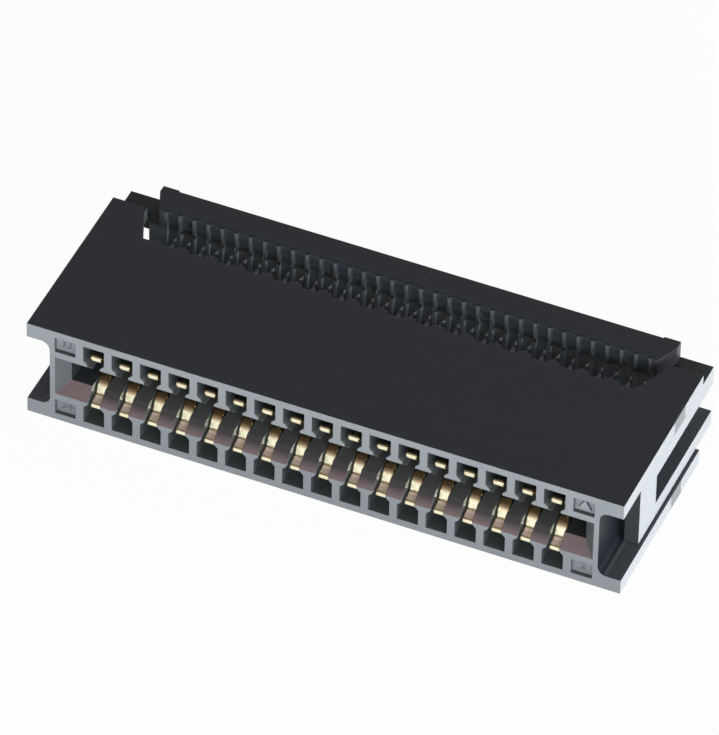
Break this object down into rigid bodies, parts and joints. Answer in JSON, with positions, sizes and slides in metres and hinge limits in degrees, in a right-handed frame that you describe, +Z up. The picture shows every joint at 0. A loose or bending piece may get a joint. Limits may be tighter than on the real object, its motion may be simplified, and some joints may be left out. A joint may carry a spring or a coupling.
{
  "type": "card edge connector",
  "caption": "Card edge connector for ribbon cable: a slotted block with two rows of bowed spring contacts and a latch-arm cover that presses the cable onto forked contact tails.",
  "frame": {"origin": "centre of the card slot's mouth, on the mating face", "axes": "+X along the contact rows, +Y from the mating face back to the cable cover, +Z up through the two rows"},
  "size_m": [0.0526, 0.0201, 0.0096],
  "materials": {
    "housing": "matte, fine mould texture",
    "cover": "matte, fine mould texture",
    "contact": "gold plated, smooth"
  },
  "bodies": {
    "socket": {"body": "housing", "contact_01": "contact", "contact_02": "contact", "contact_03": "contact", "contact_04": "contact", "contact_05": "contact", "contact_06": "contact", "contact_07": "contact", "contact_08": "contact", "contact_09": "contact", "contact_10": "contact", "contact_11": "contact", "contact_12": "contact", "contact_13": "contact", "contact_14": "contact", "contact_15": "contact", "contact_16": "contact", "contact_17": "contact", "contact_18": "contact", "contact_19": "contact", "contact_20": "contact", "contact_21": "contact", "contact_22": "contact", "contact_23": "contact", "contact_24": "contact", "contact_25": "contact", "contact_26": "contact", "contact_27": "contact", "contact_28": "contact", "contact_29": "contact", "contact_30": "contact", "contact_31": "contact", "contact_32": "contact", "contact_33": "contact", "contact_34": "contact"},
    "pressed_cover": {"cover": "cover"}
  },
  "joints": [
    {"name": "cover_press", "type": "slide", "parent": "socket", "child": "pressed_cover", "axis": [0, -1, 0], "range_m": [0, 0.003]}
  ]
}
